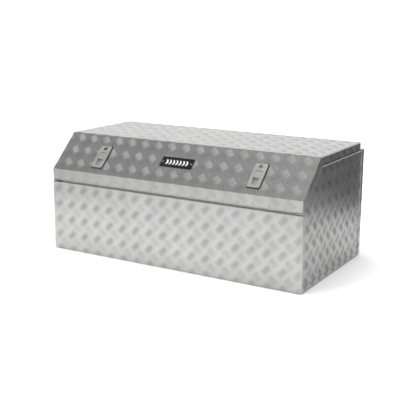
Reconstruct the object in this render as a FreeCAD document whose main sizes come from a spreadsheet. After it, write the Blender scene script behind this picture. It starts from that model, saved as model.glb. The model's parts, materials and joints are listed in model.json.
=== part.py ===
import FreeCAD, Part
import Sketcher
import math
import os

# Truck tool box: a folded body of tread plate, a full width lid hinged at the back,
# two paddle latches on the lid's sloping front and a gas strut at each side.
# Frame: X along the length, -Y the front, +Z up, origin under the middle of the floor.
# Depths called "from the front" are measured back from the body's front face.

DRIVING_SIZES = {
    # whole box
    "box_width": 1200,
    "box_depth": 610,
    "box_height": 500,
    "plate": 2.5,
    "fold": 4,
    "gap": 0.3,
    # lid outline
    "slope_run": 150,
    "lip_top": 358,
    "lid_depth": 571,
    "skirt": 32,
    "lid_inset": 2.5,
    # body outline
    "front_top": 302,
    "rim_drop": 37,
    "ledge_top": 467,
    "ledge_front": 545,
    "upstand_front": 22,
    "rim_width": 22.5,
    "strip_bottom": 22.5,
    "strip_rear": 25,
    "strip_front": 20,
    "panel_play": 1,
    # rim seal, as drops below the lid's outer face
    "bulb_drop": 7.8,
    "bulb_radius": 5,
    "clip_top_drop": 11.5,
    "upstand_top_drop": 14.7,
    "clip_foot_drop": 26.5,
    "clip_half": 3.55,
    # piano hinge
    "hinge_length": 1140,
    "knuckle_pitch": 30,
    "knuckle_radius": 3.5,
    "pin_radius": 1.5,
    "running": 0.05,
    "leaf": 1.5,
    "leaf_width": 26,
    "rivet_pitch": 100,
    "leaf_rivet_reach": 17,
    # rivets
    "rivet_radius": 2,
    "rivet_head": 4,
    "rivet_dome": 1.6,
    "hole_play": 0.15,
    # latches, on the slope
    "latch_offset": 374,
    "latch_down": 118,
    "gasket_width": 63,
    "gasket_height": 121,
    "gasket_thick": 3,
    "gasket_corner": 11,
    "face_width": 57,
    "face_height": 115,
    "face_thick": 2,
    "face_corner": 9,
    "edge_softness": 0.6,
    "hole_width": 40,
    "hole_low": 51,
    "hole_high": 52.5,
    "dish_wall": 1.5,
    "dish_half": 14.5,
    "dish_high": 21,
    "dish_knee": 12,
    "dish_low": 47,
    "dish_toe": 9,
    "dish_depth": 8.5,
    "stud_across": 24.3,
    "stud_up": 50,
    "stud_radius": 1.5,
    "paddle_half": 13.5,
    "paddle_high": 18,
    "paddle_low": 9.7,
    "paddle_thick": 1.7,
    "paddle_lip": 6.5,
    "paddle_pin_up": 15.5,
    "paddle_pin_out": 0.5,
    "link_up": 3,
    "link_in": 5,
    "lever_pin_down": 30,
    "lever_pin_in": 24,
    "lock_up": 40.3,
    "lock_radius": 8,
    "lock_length": 19,
    "plug_radius": 5.5,
    # striker behind the front upstand
    "striker_width": 40,
    "striker_foot": 318,
    "striker_top": 345,
    "striker_reach": 39,
    "striker_rivet_height": 328,
    # badge and stiffeners, on the slope
    "badge_width": 154,
    "badge_height": 51,
    "badge_thick": 1.2,
    "badge_down": 102.5,
    "badge_rivet": 68,
    "stiffener_down": 65,
    "stiffener_rivet": 531,
    "stiffener_leg": 20,
    "stiffener_outer": 562,
    "stiffener_inner": 412,
    "stiffener_centre": 336,
    # gas struts
    "strut_across": 552,
    "strut_radius": 240,
    "strut_angle": 73,
    "strut_lid_height": 478,
    "barrel_radius": 10,
    "barrel_bore": 8.5,
    "barrel_start": 16,
    "barrel_end": 250,
    "rod_radius": 4,
    "rod_length": 245,
    "ball_radius": 5,
    "socket_radius": 8,
}


class Size:
    """A length kept as a number together with the expression that yields it."""

    def __init__(self, value, text):
        self.value = float(value)
        self.text = text

    def joined(self, other, sign, value):
        return Size(value, f"({self.text} {sign} {as_size(other).text})")

    def __add__(self, other):
        return self.joined(other, "+", self.value + as_size(other).value)

    def __sub__(self, other):
        return self.joined(other, "-", self.value - as_size(other).value)

    def __mul__(self, other):
        return self.joined(other, "*", self.value * as_size(other).value)

    def __truediv__(self, other):
        return self.joined(other, "/", self.value / as_size(other).value)

    def __neg__(self):
        return Size(-self.value, f"(0 - {self.text})")

    def __radd__(self, other):
        return as_size(other) + self

    def __rsub__(self, other):
        return as_size(other) - self

    def __rmul__(self, other):
        return as_size(other) * self


def as_size(amount):
    """Any plain number as a Size."""
    if isinstance(amount, Size):
        return amount
    return Size(amount, repr(float(amount)))


def root_of(size):
    """Square root of a Size."""
    return Size(math.sqrt(size.value), f"sqrt({size.text})")


doc = FreeCAD.newDocument("truck_tool_box")
table = doc.addObject("Spreadsheet::Sheet", "sizes")
for row, (name, value) in enumerate(DRIVING_SIZES.items(), start=1):
    table.set(f"A{row}", name)
    table.set(f"B{row}", str(value))
    table.setAlias(f"B{row}", name)
doc.recompute()


def sized(name):
    """The driving size of that name."""
    return Size(table.get(name), f"sizes.{name}")


pieces = []


# ---------------------------------------------------------------- building helpers

def new_body(label):
    """An empty body whose label is its file name."""
    body = doc.addObject("PartDesign::Body", label)
    body.Label = label
    body.AllowCompound = True
    pieces.append(body)
    return body


def origin_of(body, role):
    """The body's own origin plane or axis of that role."""
    for feature in body.Origin.OriginFeatures:
        if feature.Role == role:
            return feature
    raise ValueError(role)


def bind(feature, name, size):
    """Drive one property of a feature by a Size."""
    feature.setExpression(name, as_size(size).text)


def new_sketch(body, role, lift=0):
    """A sketch on an origin plane, lifted along the plane's normal."""
    sketch = body.newObject("Sketcher::SketchObject", f"{body.Name}_sketch")
    sketch.AttachmentSupport = [(origin_of(body, role), "")]
    sketch.MapMode = "FlatFace"
    bind(sketch, "AttachmentOffset.Base.z", lift)
    return sketch


def place_point(sketch, geometry, end, point):
    """Hold one end of a sketch element at a point given by two Sizes."""
    for kind, amount in (("DistanceX", point[0]), ("DistanceY", point[1])):
        amount = as_size(amount)
        index = sketch.addConstraint(
            Sketcher.Constraint(kind, -1, 1, geometry, end, amount.value)
        )
        sketch.setExpression(f"Constraints[{index}]", amount.text)


def add_outline(sketch, corners):
    """A closed outline through the corners."""
    first = sketch.GeometryCount
    vectors = [
        FreeCAD.Vector(as_size(across).value, as_size(up).value, 0)
        for across, up in corners
    ]
    count = len(vectors)
    for number in range(count):
        sketch.addGeometry(
            Part.LineSegment(vectors[number], vectors[(number + 1) % count])
        )
    for number in range(count):
        following = first + (number + 1) % count
        sketch.addConstraint(
            Sketcher.Constraint("Coincident", first + number, 2, following, 1)
        )
    for number, corner in enumerate(corners):
        place_point(sketch, first + number, 1, corner)


def add_rectangle(sketch, left, right, low, high):
    """A rectangle between the given limits."""
    add_outline(sketch, [(left, low), (right, low), (right, high), (left, high)])


def add_circle(sketch, centre, radius):
    """A circle whose centre and radius are Sizes."""
    across, up = as_size(centre[0]), as_size(centre[1])
    radius = as_size(radius)
    middle = FreeCAD.Vector(across.value, up.value, 0)
    index = sketch.addGeometry(
        Part.Circle(middle, FreeCAD.Vector(0, 0, 1), radius.value)
    )
    place_point(sketch, index, 3, centre)
    held = sketch.addConstraint(Sketcher.Constraint("Radius", index, radius.value))
    sketch.setExpression(f"Constraints[{held}]", radius.text)


def feature_of(body, kind, sketch):
    """A sketch based feature that becomes the body's tip."""
    feature = body.newObject(f"PartDesign::{kind}", f"{body.Name}_{kind.lower()}")
    feature.Profile = sketch
    body.Tip = feature
    return feature


def pad(body, sketch, length, symmetric=False):
    """Add material from a sketch."""
    feature = feature_of(body, "Pad", sketch)
    bind(feature, "Length", length)
    if symmetric:
        feature.SideType = "Symmetric"
    doc.recompute()
    return feature


def pocket(body, sketch, length, symmetric=False, reverse=False):
    """Remove material from a sketch; an untouched body is an error."""
    before = body.Shape.Volume
    feature = feature_of(body, "Pocket", sketch)
    bind(feature, "Length", length)
    feature.Reversed = reverse
    if symmetric:
        feature.SideType = "Symmetric"
    doc.recompute()
    if body.Shape.Volume > before - 1e-3:
        raise RuntimeError(f"{body.Label}: a pocket removes nothing")
    return feature


def slab(body, corners, start, end, role="YZ_Plane"):
    """Pad an outline between two lifts along the plane's normal."""
    sketch = new_sketch(body, role, start)
    add_outline(sketch, corners)
    return pad(body, sketch, end - start)


def repeat(body, originals, axis_role, spacing, count):
    """A linear pattern of features along an origin axis."""
    pattern = body.newObject("PartDesign::LinearPattern", f"{body.Name}_pattern")
    pattern.Originals = originals
    pattern.Direction = (origin_of(body, axis_role), [""])
    pattern.Mode = "Spacing"
    bind(pattern, "Offset", spacing)
    pattern.Occurrences = count
    body.Tip = pattern
    doc.recompute()
    return pattern


def turned(body, profile, role="XZ_Plane"):
    """Turn an outline given as (radius, height) pairs about the sketch's upright axis."""
    sketch = new_sketch(body, role)
    add_outline(sketch, profile)
    feature = feature_of(body, "Revolution", sketch)
    feature.ReferenceAxis = (sketch, ["V_Axis"])
    feature.Angle = 360
    doc.recompute()
    return feature


def rounded(body, radius, wanted):
    """Fillet the tip's straight edges that the test picks from their two ends."""
    base = body.Tip
    names = []
    for number, edge in enumerate(base.Shape.Edges, start=1):
        if len(edge.Vertexes) != 2:
            continue
        if wanted(edge.Vertexes[0].Point, edge.Vertexes[1].Point):
            names.append(f"Edge{number}")
    if not names:
        raise RuntimeError(f"{body.Label}: no edge to round")
    fillet = body.newObject("PartDesign::Fillet", f"{body.Name}_fillet")
    fillet.Base = (base, names)
    bind(fillet, "Radius", radius)
    body.Tip = fillet
    doc.recompute()
    return fillet


def hollowed(body, corners, half):
    """Cut a prism along X out of the body, reaching the half length to each side."""
    sketch = new_sketch(body, "YZ_Plane")
    add_outline(sketch, corners)
    return pocket(body, sketch, half * 2, symmetric=True)


# ---------------------------------------------------------------- shared outlines

half_width = sized("box_width") / 2
half_depth = sized("box_depth") / 2
height = sized("box_height")
plate = sized("plate")
fold = sized("fold")
gap = sized("gap")
run = sized("slope_run")
lip_top = sized("lip_top")
rise = height - lip_top
slope_length = root_of(run * run + rise * rise)
slope_degrees = math.degrees(math.atan2(rise.value, run.value))
slope_cos = run / slope_length
slope_sin = rise / slope_length


def back(distance):
    """Y of a point that lies the distance behind the front face."""
    return distance - half_depth


def slope_point(drop, distance):
    """Point at that distance from the front, the drop square below the lid's slope."""
    level = lip_top + distance * rise / run - drop * slope_length / run
    return (back(as_size(distance)), level)


def knee_point(drop):
    """Point where the lines at that drop below the slope and below the top meet."""
    return (back(run + drop * (slope_length - run) / rise), height - drop)


def flat_point(drop, distance):
    """Point at that distance from the front, the drop below the lid's top."""
    return (back(as_size(distance)), height - drop)


def near(first, second):
    return abs(first - second) < 0.01


def upright_edge(start, end):
    return near(start.x, end.x) and near(start.y, end.y)


def flat_edge_at(level):
    """A test for edges that lie flat at that level of the body's own frame."""
    return lambda start, end: near(start.z, level.value) and near(end.z, level.value)


# ---------------------------------------------------------------- body of the box

panel_outer = half_width - plate - gap
panel_inner = panel_outer - plate
rim_drop = sized("rim_drop")
rim_inner = panel_outer + gap - sized("rim_width") - plate
upstand_front = sized("upstand_front")
ledge_front = sized("ledge_front")
ledge_top = sized("ledge_top")
front_top = sized("front_top")


def build_body_wrap():
    """Front, floor and back in one folded sheet, with strips over the side panels."""
    body = new_body("body_wrap")
    depth = sized("box_depth")
    sketch = new_sketch(body, "YZ_Plane")
    mouth_front = upstand_front + plate
    add_outline(sketch, [
        (back(as_size(0)), 0),
        (back(depth), 0),
        (back(depth), ledge_top),
        (back(ledge_front), ledge_top),
        (back(mouth_front), front_top),
        (back(as_size(0)), front_top),
    ])
    pad(body, sketch, sized("box_width"), symmetric=True)

    edge_y = half_depth.value
    side_x = half_width.value

    def outer_fold(start, end):
        along_x = near(start.y, end.y) and near(start.z, end.z)
        on_front_or_back = near(abs(start.y), edge_y)
        on_side = near(abs(start.x), side_x) and near(abs(end.x), side_x)
        upright = on_side and not along_x and min(start.z, end.z) < 1
        return (along_x and on_front_or_back) or upright

    rounded(body, fold, outer_fold)
    inner_rear = back(depth - plate)
    hollowed(body, [
        (back(plate), plate),
        (inner_rear, plate),
        (inner_rear, ledge_top - plate),
        (back(ledge_front), ledge_top - plate),
        (back(ledge_front), ledge_top + 5),
        (back(mouth_front), ledge_top + 5),
        (back(mouth_front), front_top - plate),
        (back(plate), front_top - plate),
    ], half_width - plate)

    def inner_fold(start, end):
        along_x = near(start.y, end.y) and near(start.z, end.z)
        return along_x and near(abs(start.y), edge_y - plate.value)

    rounded(body, fold - plate, inner_fold)

    # side openings, which leave the strips that lie over the side panels
    for side in (-1, 1):
        opening = new_sketch(body, "YZ_Plane", (half_width + 1) * side)
        add_rectangle(
            opening,
            back(sized("strip_front")), back(depth - sized("strip_rear")),
            sized("strip_bottom"), ledge_top + 5,
        )
        pocket(body, opening, plate + 1, reverse=side < 0)

    # notches in the front flange, where the side panels pass
    foot = panel_inner - gap
    notches = new_sketch(body, "XY_Plane", front_top + 1)
    for side in (-1, 1):
        edges = sorted((foot * side, (half_width - plate) * side), key=lambda size: size.value)
        add_rectangle(
            notches, *edges, back(plate + sized("panel_play") - gap), back(mouth_front) + 0.1,
        )
    pocket(body, notches, plate + 2)

    # front upstand, with a foot that closes the corner under each side rim
    clear = rim_inner - gap
    front_upstand_top = slope_point(sized("bulb_drop"), upstand_front + plate / 2)[1]
    front_upstand_top = front_upstand_top - sized("upstand_top_drop") + sized("bulb_drop")
    foot_top = slope_point(rim_drop + plate, upstand_front)[1] - gap
    slab(body, [
        (-foot, front_top - plate),
        (foot, front_top - plate),
        (foot, foot_top),
        (clear, foot_top),
        (clear, front_upstand_top),
        (-clear, front_upstand_top),
        (-clear, foot_top),
        (-foot, foot_top),
    ], -back(upstand_front + plate), -back(upstand_front), "XZ_Plane")

    # rear upstand along the ledge's front edge
    rear_half = rim_inner + plate
    slab(body, [
        (-rear_half, ledge_top - plate),
        (rear_half, ledge_top - plate),
        (rear_half, height - sized("upstand_top_drop")),
        (-rear_half, height - sized("upstand_top_drop")),
    ], -back(ledge_front + plate), -back(ledge_front), "XZ_Plane")

    # hinge rivet holes through the ledge
    drill_row(body, "XY_Plane", leaf_rivet_y, ledge_top, 12)

    # striker rivet holes through the front upstand
    holes = new_sketch(body, "XZ_Plane", -back(upstand_front + plate / 2))
    for centre in striker_rivet_centres:
        add_circle(holes, (centre, sized("striker_rivet_height")), rivet_hole)
    pocket(body, holes, plate + 4, symmetric=True)


def drill_row(body, role, up, lift, count):
    """A row of rivet holes along X, even about the middle."""
    pitch = sized("rivet_pitch")
    sketch = new_sketch(body, role, lift)
    add_circle(sketch, (pitch * (-(count - 1) / 2), up), rivet_hole)
    hole = pocket(body, sketch, plate * 4, symmetric=True)
    repeat(body, [hole], "X_Axis", pitch, count)


def build_side_panel(label, side):
    """A side panel with a rim folded inward under the lid and an upstand for the seal."""
    body = new_body(label)
    play = plate + sized("panel_play")
    depth = sized("box_depth")
    nip = 2

    def layer(corners, inner, outer):
        if side > 0:
            return slab(body, corners, inner, outer)
        return slab(body, corners, -outer, -inner)

    front_edge = play
    rear_edge = depth - play
    rim_front = slope_point(rim_drop, front_edge)
    layer([
        (back(front_edge + nip), play),
        (back(rear_edge - nip), play),
        (back(rear_edge), play + nip),
        flat_point(rim_drop, rear_edge),
        knee_point(rim_drop),
        rim_front,
        (back(front_edge), play + nip),
    ], panel_inner, panel_outer)
    layer([
        rim_front,
        slope_point(rim_drop + plate, front_edge),
        knee_point(rim_drop + plate),
        flat_point(rim_drop + plate, rear_edge),
        flat_point(rim_drop, rear_edge),
        knee_point(rim_drop),
    ], rim_inner, panel_outer)

    knee_y = knee_point(rim_drop)[0].value

    def rim_fold(start, end):
        on_outer = near(abs(start.x), panel_outer.value) and near(abs(end.x), panel_outer.value)
        on_slope = min(start.y, end.y) < knee_y - 1 and max(start.y, end.y) < knee_y + 1
        high = min(start.z, end.z) > rim_front[1].value - 1
        upright = near(start.y, end.y)
        return on_outer and high and not upright and (on_slope or near(start.z, end.z))

    rounded(body, fold, rim_fold)
    upstand_drop = sized("upstand_top_drop")
    upstand_start = upstand_front + plate / 2 + sized("clip_half") + gap
    layer([
        slope_point(rim_drop + plate, upstand_start),
        knee_point(rim_drop + plate),
        flat_point(rim_drop + plate, ledge_front - gap),
        flat_point(upstand_drop, ledge_front - gap),
        knee_point(upstand_drop),
        slope_point(upstand_drop, upstand_start),
    ], rim_inner, rim_inner + plate)


def build_rim_seal():
    """Rubber edge seal: a clip over the upstands with a bulb that the lid rests on."""
    bulb = sized("bulb_radius").value
    half = sized("clip_half").value
    slot = plate.value / 2 + gap.value
    top = sized("clip_top_drop").value - sized("bulb_drop").value
    foot = sized("clip_foot_drop").value - sized("bulb_drop").value
    crown = sized("upstand_top_drop").value - sized("bulb_drop").value - gap.value
    side_x = (rim_inner + plate / 2).value
    front_y, front_z = [
        size.value for size in slope_point(sized("bulb_drop"), upstand_front + plate / 2)
    ]
    knee_y, knee_z = [size.value for size in knee_point(sized("bulb_drop"))]
    rear_y = back(ledge_front + plate / 2).value
    slope_up = FreeCAD.Vector(0, -slope_sin.value, slope_cos.value)
    upright = FreeCAD.Vector(0, 0, 1)

    runs = [
        ((-side_x, front_y, front_z), (side_x, front_y, front_z), upright),
        ((-side_x, rear_y, knee_z), (side_x, rear_y, knee_z), upright),
    ]
    for sign in (-1, 1):
        corner = (sign * side_x, knee_y, knee_z)
        runs.append(((sign * side_x, front_y, front_z), corner, slope_up))
        runs.append((corner, (sign * side_x, rear_y, knee_z), upright))

    solids = []
    hollows = []
    for start, end, up in runs:
        start = FreeCAD.Vector(*start)
        along = FreeCAD.Vector(*end) - start
        length = along.Length
        along.normalize()
        across = up.cross(along)

        def bar(half_thick, low, high, spare):
            corners = [
                start - along * spare + across * sign_across * half_thick + up * level
                for sign_across, level in ((-1, low), (1, low), (1, high), (-1, high))
            ]
            face = Part.Face(Part.makePolygon(corners + corners[:1]))
            return face.extrude(along * (length + 2 * spare))

        solids.append(bar(half, -foot, -top, half))
        solids.append(Part.makeCylinder(bulb, length, start, along))
        hollows.append(bar(slot, -foot - 1, -crown, half + 1))
    for sign in (-1, 1):
        for y, z in ((front_y, front_z), (knee_y, knee_z), (rear_y, knee_z)):
            solids.append(Part.makeSphere(bulb, FreeCAD.Vector(sign * side_x, y, z)))
    seal = doc.addObject("Part::Feature", "rim_seal")
    seal.Label = "rim_seal"
    seal.Shape = solids[0].multiFuse(solids[1:]).cut(Part.makeCompound(hollows)).removeSplitter()
    pieces.append(seal)


# ---------------------------------------------------------------- lid

lid_half = half_width - sized("lid_inset")
lid_depth = sized("lid_depth")
skirt = sized("skirt")


def slope_placement(down, across=0.0, out=0.0):
    """Frame on the slope's outer face: X along the box, Y up the slope, Z outward."""
    along = slope_length.value - down
    y = back(as_size(0)).value + slope_cos.value * along - slope_sin.value * out
    z = lip_top.value + slope_sin.value * along + slope_cos.value * out
    turn = FreeCAD.Rotation(FreeCAD.Vector(1, 0, 0), slope_degrees)
    return FreeCAD.Placement(FreeCAD.Vector(across, y, z), turn)


def slope_sketch(body, down):
    """A sketch in the plane of the slope's outer face, with its origin that far down it."""
    sketch = new_sketch(body, "XY_Plane")
    sketch.setExpression("AttachmentOffset.Base.z", None)
    sketch.AttachmentOffset = slope_placement(down.value)
    return sketch


def build_lid_shell():
    """Top, slope, lip and skirts in one folded sheet."""
    body = new_body("lid_shell")
    sketch = new_sketch(body, "YZ_Plane")
    add_outline(sketch, [
        slope_point(skirt, 0),
        (back(as_size(0)), lip_top),
        (back(run), height),
        (back(lid_depth), height),
        flat_point(skirt, lid_depth),
        knee_point(skirt),
    ])
    pad(body, sketch, lid_half * 2, symmetric=True)

    side_x = lid_half.value
    low_z = slope_point(skirt, 0)[1].value
    knee_y = knee_point(skirt)[0].value

    def outer_fold(start, end):
        along_x = near(start.y, end.y) and near(start.z, end.z)
        if along_x:
            on_mouth = near(start.z, low_z) or near(start.z, height.value - skirt.value)
            return not on_mouth
        top_line = near(start.z, height.value) and near(end.z, height.value)
        lip_line = near(start.y, end.y) and start.y < knee_y
        back_line = near(start.y, end.y) and start.y > knee_y
        slope_line = near(max(start.z, end.z), height.value) and near(
            min(start.z, end.z), lip_top.value
        )
        return top_line or lip_line or back_line or slope_line

    rounded(body, fold, outer_fold)
    below = skirt + 5
    hollowed(body, [
        slope_point(plate, plate),
        knee_point(plate),
        flat_point(plate, lid_depth - plate),
        flat_point(below, lid_depth - plate),
        knee_point(below),
        slope_point(below, plate),
    ], lid_half - plate)

    def inner_fold(start, end):
        along_x = near(start.y, end.y) and near(start.z, end.z)
        inside = near(abs(start.x), side_x - plate.value)
        return along_x and inside

    rounded(body, fold - plate, inner_fold)

    # openings for the two latches and their studs
    cut = slope_sketch(body, sized("latch_down"))
    half_hole = sized("hole_width") / 2
    for side in (-1, 1):
        middle = sized("latch_offset") * side
        add_rectangle(
            cut, middle - half_hole, middle + half_hole,
            -sized("hole_low"), sized("hole_high"),
        )
        for across in (-1, 1):
            for up in (-1, 1):
                centre = (middle + sized("stud_across") * across, sized("stud_up") * up)
                add_circle(cut, centre, sized("stud_radius") + sized("hole_play"))
    pocket(body, cut, plate * 4, symmetric=True)

    # rivet holes of the badge and of the stiffeners
    for down, reach, count in (
        (sized("badge_down"), sized("badge_rivet"), 2),
        (sized("stiffener_down"), sized("stiffener_rivet"), 3),
    ):
        holes = slope_sketch(body, down)
        for number in range(count):
            add_circle(holes, (reach * (2 * number / (count - 1) - 1), 0), rivet_hole)
        pocket(body, holes, plate * 4, symmetric=True)

    # hinge rivet holes through the rear skirt
    drill_row(body, "XZ_Plane", leaf_rivet_z, -back(lid_depth), 11)


def build_stiffeners():
    """Angles inside the slope: the riveted leg lies on the sheet, the other stands inward."""
    body = new_body("lid_stiffeners")
    body.Placement = slope_placement(sized("stiffener_down").value)
    leg = sized("stiffener_leg")
    outer_face = -(plate + gap)
    inner_face = outer_face - 2
    spans = (
        (-sized("stiffener_outer"), -sized("stiffener_inner")),
        (-sized("stiffener_centre"), sized("stiffener_centre")),
        (sized("stiffener_inner"), sized("stiffener_outer")),
    )
    for start, end in spans:
        slab(body, [
            (-leg / 2, outer_face),
            (-leg / 2, inner_face),
            (leg / 2 - 2, inner_face),
            (leg / 2 - 2, outer_face - leg),
            (leg / 2, outer_face - leg),
            (leg / 2, outer_face),
        ], start, end)
    holes = new_sketch(body, "XY_Plane", outer_face)
    for number in (-1, 0, 1):
        add_circle(holes, (sized("stiffener_rivet") * number, 0), rivet_hole)
    pocket(body, holes, 10, symmetric=True)


# ---------------------------------------------------------------- rivets

rivet_radius = sized("rivet_radius")
rivet_hole = rivet_radius + sized("hole_play")
hair = 0.1


def rivet_profile(grip, dome_scale=1.0):
    """Half section of a rivet: domed head above zero, shank down through the grip."""
    head = sized("rivet_head") * dome_scale
    dome = sized("rivet_dome") * dome_scale
    tail = rivet_radius * 1.6
    return [
        (0, dome + hair),
        (0, -grip - hair - 1.2),
        (tail, -grip - hair - 1.2),
        (tail, -grip - hair),
        (rivet_radius, -grip - hair),
        (rivet_radius, hair),
        (head, hair),
        (head * 0.94, dome * 0.45 + hair),
        (head * 0.6, dome * 0.85 + hair),
    ]


def build_rivet_row(label, placement, grip, spacing, count):
    """A row of rivets along X, even about the middle of the placement."""
    body = new_body(label)
    shift = FreeCAD.Placement(FreeCAD.Vector(-spacing.value * (count - 1) / 2, 0, 0),
                              FreeCAD.Rotation())
    body.Placement = placement.multiply(shift)
    one = turned(body, rivet_profile(as_size(grip)))
    repeat(body, [one], "X_Axis", spacing, count)
    return body


# ---------------------------------------------------------------- piano hinge

knuckle = sized("knuckle_radius")
leaf = sized("leaf")
pin_radius = sized("pin_radius")
running = sized("running")
axis_y = back(lid_depth + gap + knuckle)
axis_z = ledge_top + gap + knuckle
leaf_start = knuckle - gap
leaf_rivet_y = axis_y + sized("leaf_rivet_reach")
leaf_rivet_z = axis_z + sized("leaf_rivet_reach") - 3


def build_hinge_leaf(label, angle, first, leaf_width, rivet_reach, rivet_count):
    """One leaf with every second knuckle; local Y runs away from the pin across the leaf."""
    body = new_body(label)
    turn = FreeCAD.Rotation(FreeCAD.Vector(1, 0, 0), angle)
    body.Placement = FreeCAD.Placement(FreeCAD.Vector(0, axis_y.value, axis_z.value), turn)
    length = sized("hinge_length")
    pitch = sized("knuckle_pitch")
    side = -1 if angle == 0 else 1
    near_face = knuckle * side
    far_face = (knuckle - leaf) * side
    slab(body, [
        (leaf_start, near_face), (leaf_width, near_face),
        (leaf_width, far_face), (leaf_start, far_face),
    ], -length / 2, length / 2)
    start = -length / 2 + pitch * first + 0.2
    barrel_sketch = new_sketch(body, "YZ_Plane", start)
    add_circle(barrel_sketch, (0, 0), knuckle)
    barrel = pad(body, barrel_sketch, pitch - 0.4)
    web_sketch = new_sketch(body, "YZ_Plane", start)
    add_rectangle(web_sketch, 0, leaf_start + 1, near_face, far_face)
    web = pad(body, web_sketch, pitch - 0.4)
    count = int(sized("hinge_length").value / sized("knuckle_pitch").value / 2)
    repeat(body, [barrel, web], "X_Axis", pitch * 2, count)
    bore = new_sketch(body, "YZ_Plane", 0)
    add_circle(bore, (0, 0), pin_radius + running)
    pocket(body, bore, length + 10, symmetric=True)
    holes = new_sketch(body, "XY_Plane", (near_face + far_face) / 2)
    rivet_step = sized("rivet_pitch")
    for number in range(rivet_count):
        add_circle(holes, (rivet_step * (number - (rivet_count - 1) / 2), rivet_reach), rivet_hole)
    pocket(body, holes, leaf * 3, symmetric=True)


def build_hinge():
    build_hinge_leaf("hinge_body_leaf", 0, 0, sized("leaf_width"), leaf_rivet_y - axis_y, 12)
    build_hinge_leaf("hinge_lid_leaf", 90, 1, sized("leaf_width") - 3, leaf_rivet_z - axis_z, 11)
    pin = new_body("hinge_pin")
    pin.Placement = FreeCAD.Placement(FreeCAD.Vector(0, axis_y.value, axis_z.value),
                                      FreeCAD.Rotation())
    sketch = new_sketch(pin, "YZ_Plane", 0)
    add_circle(sketch, (0, 0), pin_radius)
    pad(pin, sketch, sized("hinge_length"), symmetric=True)
    grip = plate + gap + leaf
    top = FreeCAD.Placement(
        FreeCAD.Vector(0, leaf_rivet_y.value, (ledge_top + gap + leaf).value), FreeCAD.Rotation())
    build_rivet_row("hinge_body_rivets", top, grip, sized("rivet_pitch"), 12)
    rear = FreeCAD.Placement(
        FreeCAD.Vector(0, back(lid_depth + gap + leaf).value, leaf_rivet_z.value),
        FreeCAD.Rotation(FreeCAD.Vector(1, 0, 0), -90))
    build_rivet_row("hinge_lid_rivets", rear, grip, sized("rivet_pitch"), 11)


# ---------------------------------------------------------------- badge

def build_badge():
    """A plain plate with a raised border, held by a rivet at each end."""
    body = new_body("badge")
    body.Placement = slope_placement(sized("badge_down").value)
    thick = sized("badge_thick")
    half_long = sized("badge_width") / 2
    half_high = sized("badge_height") / 2
    base = new_sketch(body, "XY_Plane", gap)
    add_rectangle(base, -half_long, half_long, -half_high, half_high)
    pad(body, base, thick)
    rounded(body, 4, upright_edge)
    rounded(body, sized("edge_softness"), flat_edge_at(gap + thick))
    border = 3
    well = new_sketch(body, "XY_Plane", gap + thick)
    add_rectangle(well, border - half_long, half_long - border,
                  border - half_high, half_high - border)
    pocket(body, well, thick * 0.35)
    holes = new_sketch(body, "XY_Plane", gap)
    for side in (-1, 1):
        add_circle(holes, (sized("badge_rivet") * side, 0), rivet_hole)
    pocket(body, holes, 5, symmetric=True)


# ---------------------------------------------------------------- latches

face_low = gap + sized("gasket_thick") + gap
face_top = face_low + sized("face_thick")
dish_floor = -sized("dish_depth")
wall = sized("dish_wall")
lock_up = sized("lock_up")
lock_radius = sized("lock_radius")
plug_radius = sized("plug_radius")
paddle_pin_point = (sized("paddle_pin_up"), sized("paddle_pin_out"))
link_point = (sized("link_up"), -sized("link_in"))
lever_pin_point = (-sized("lever_pin_down"), -sized("lever_pin_in"))
small_pin = as_size(1.5)
slot_near = 1.5
slot_far = 6.5


def dish_outline(extra):
    """Outline of the finger dish, grown by the extra: straight above, narrower below."""
    return [
        (-sized("dish_half") - extra, sized("dish_high") + extra),
        (-sized("dish_half") - extra, -sized("dish_knee") - extra),
        (-sized("dish_toe") - extra, -sized("dish_low") - extra),
        (sized("dish_toe") + extra, -sized("dish_low") - extra),
        (sized("dish_half") + extra, -sized("dish_knee") - extra),
        (sized("dish_half") + extra, sized("dish_high") + extra),
    ]


def latch_body(name, side):
    """A body in the latch's own frame on the left or the right of the slope."""
    suffix = "right" if side > 0 else "left"
    body = new_body(f"latch_{suffix}_{name}")
    body.Placement = slope_placement(sized("latch_down").value, side * sized("latch_offset").value)
    return body


def stud_centres():
    return [
        (sized("stud_across") * across, sized("stud_up") * up)
        for across in (-1, 1) for up in (-1, 1)
    ]


def build_gasket(side):
    body = latch_body("gasket", side)
    sketch = new_sketch(body, "XY_Plane", gap)
    half_across, half_up = sized("gasket_width") / 2, sized("gasket_height") / 2
    add_rectangle(sketch, -half_across, half_across, -half_up, half_up)
    pad(body, sketch, sized("gasket_thick"))
    rounded(body, sized("gasket_corner"), upright_edge)
    opening = new_sketch(body, "XY_Plane", gap)
    half_hole = sized("hole_width") / 2
    add_rectangle(opening, -half_hole, half_hole, -sized("hole_low"), sized("hole_high"))
    for centre in stud_centres():
        add_circle(opening, centre, sized("stud_radius") + sized("hole_play"))
    pocket(body, opening, 10, symmetric=True)


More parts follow.
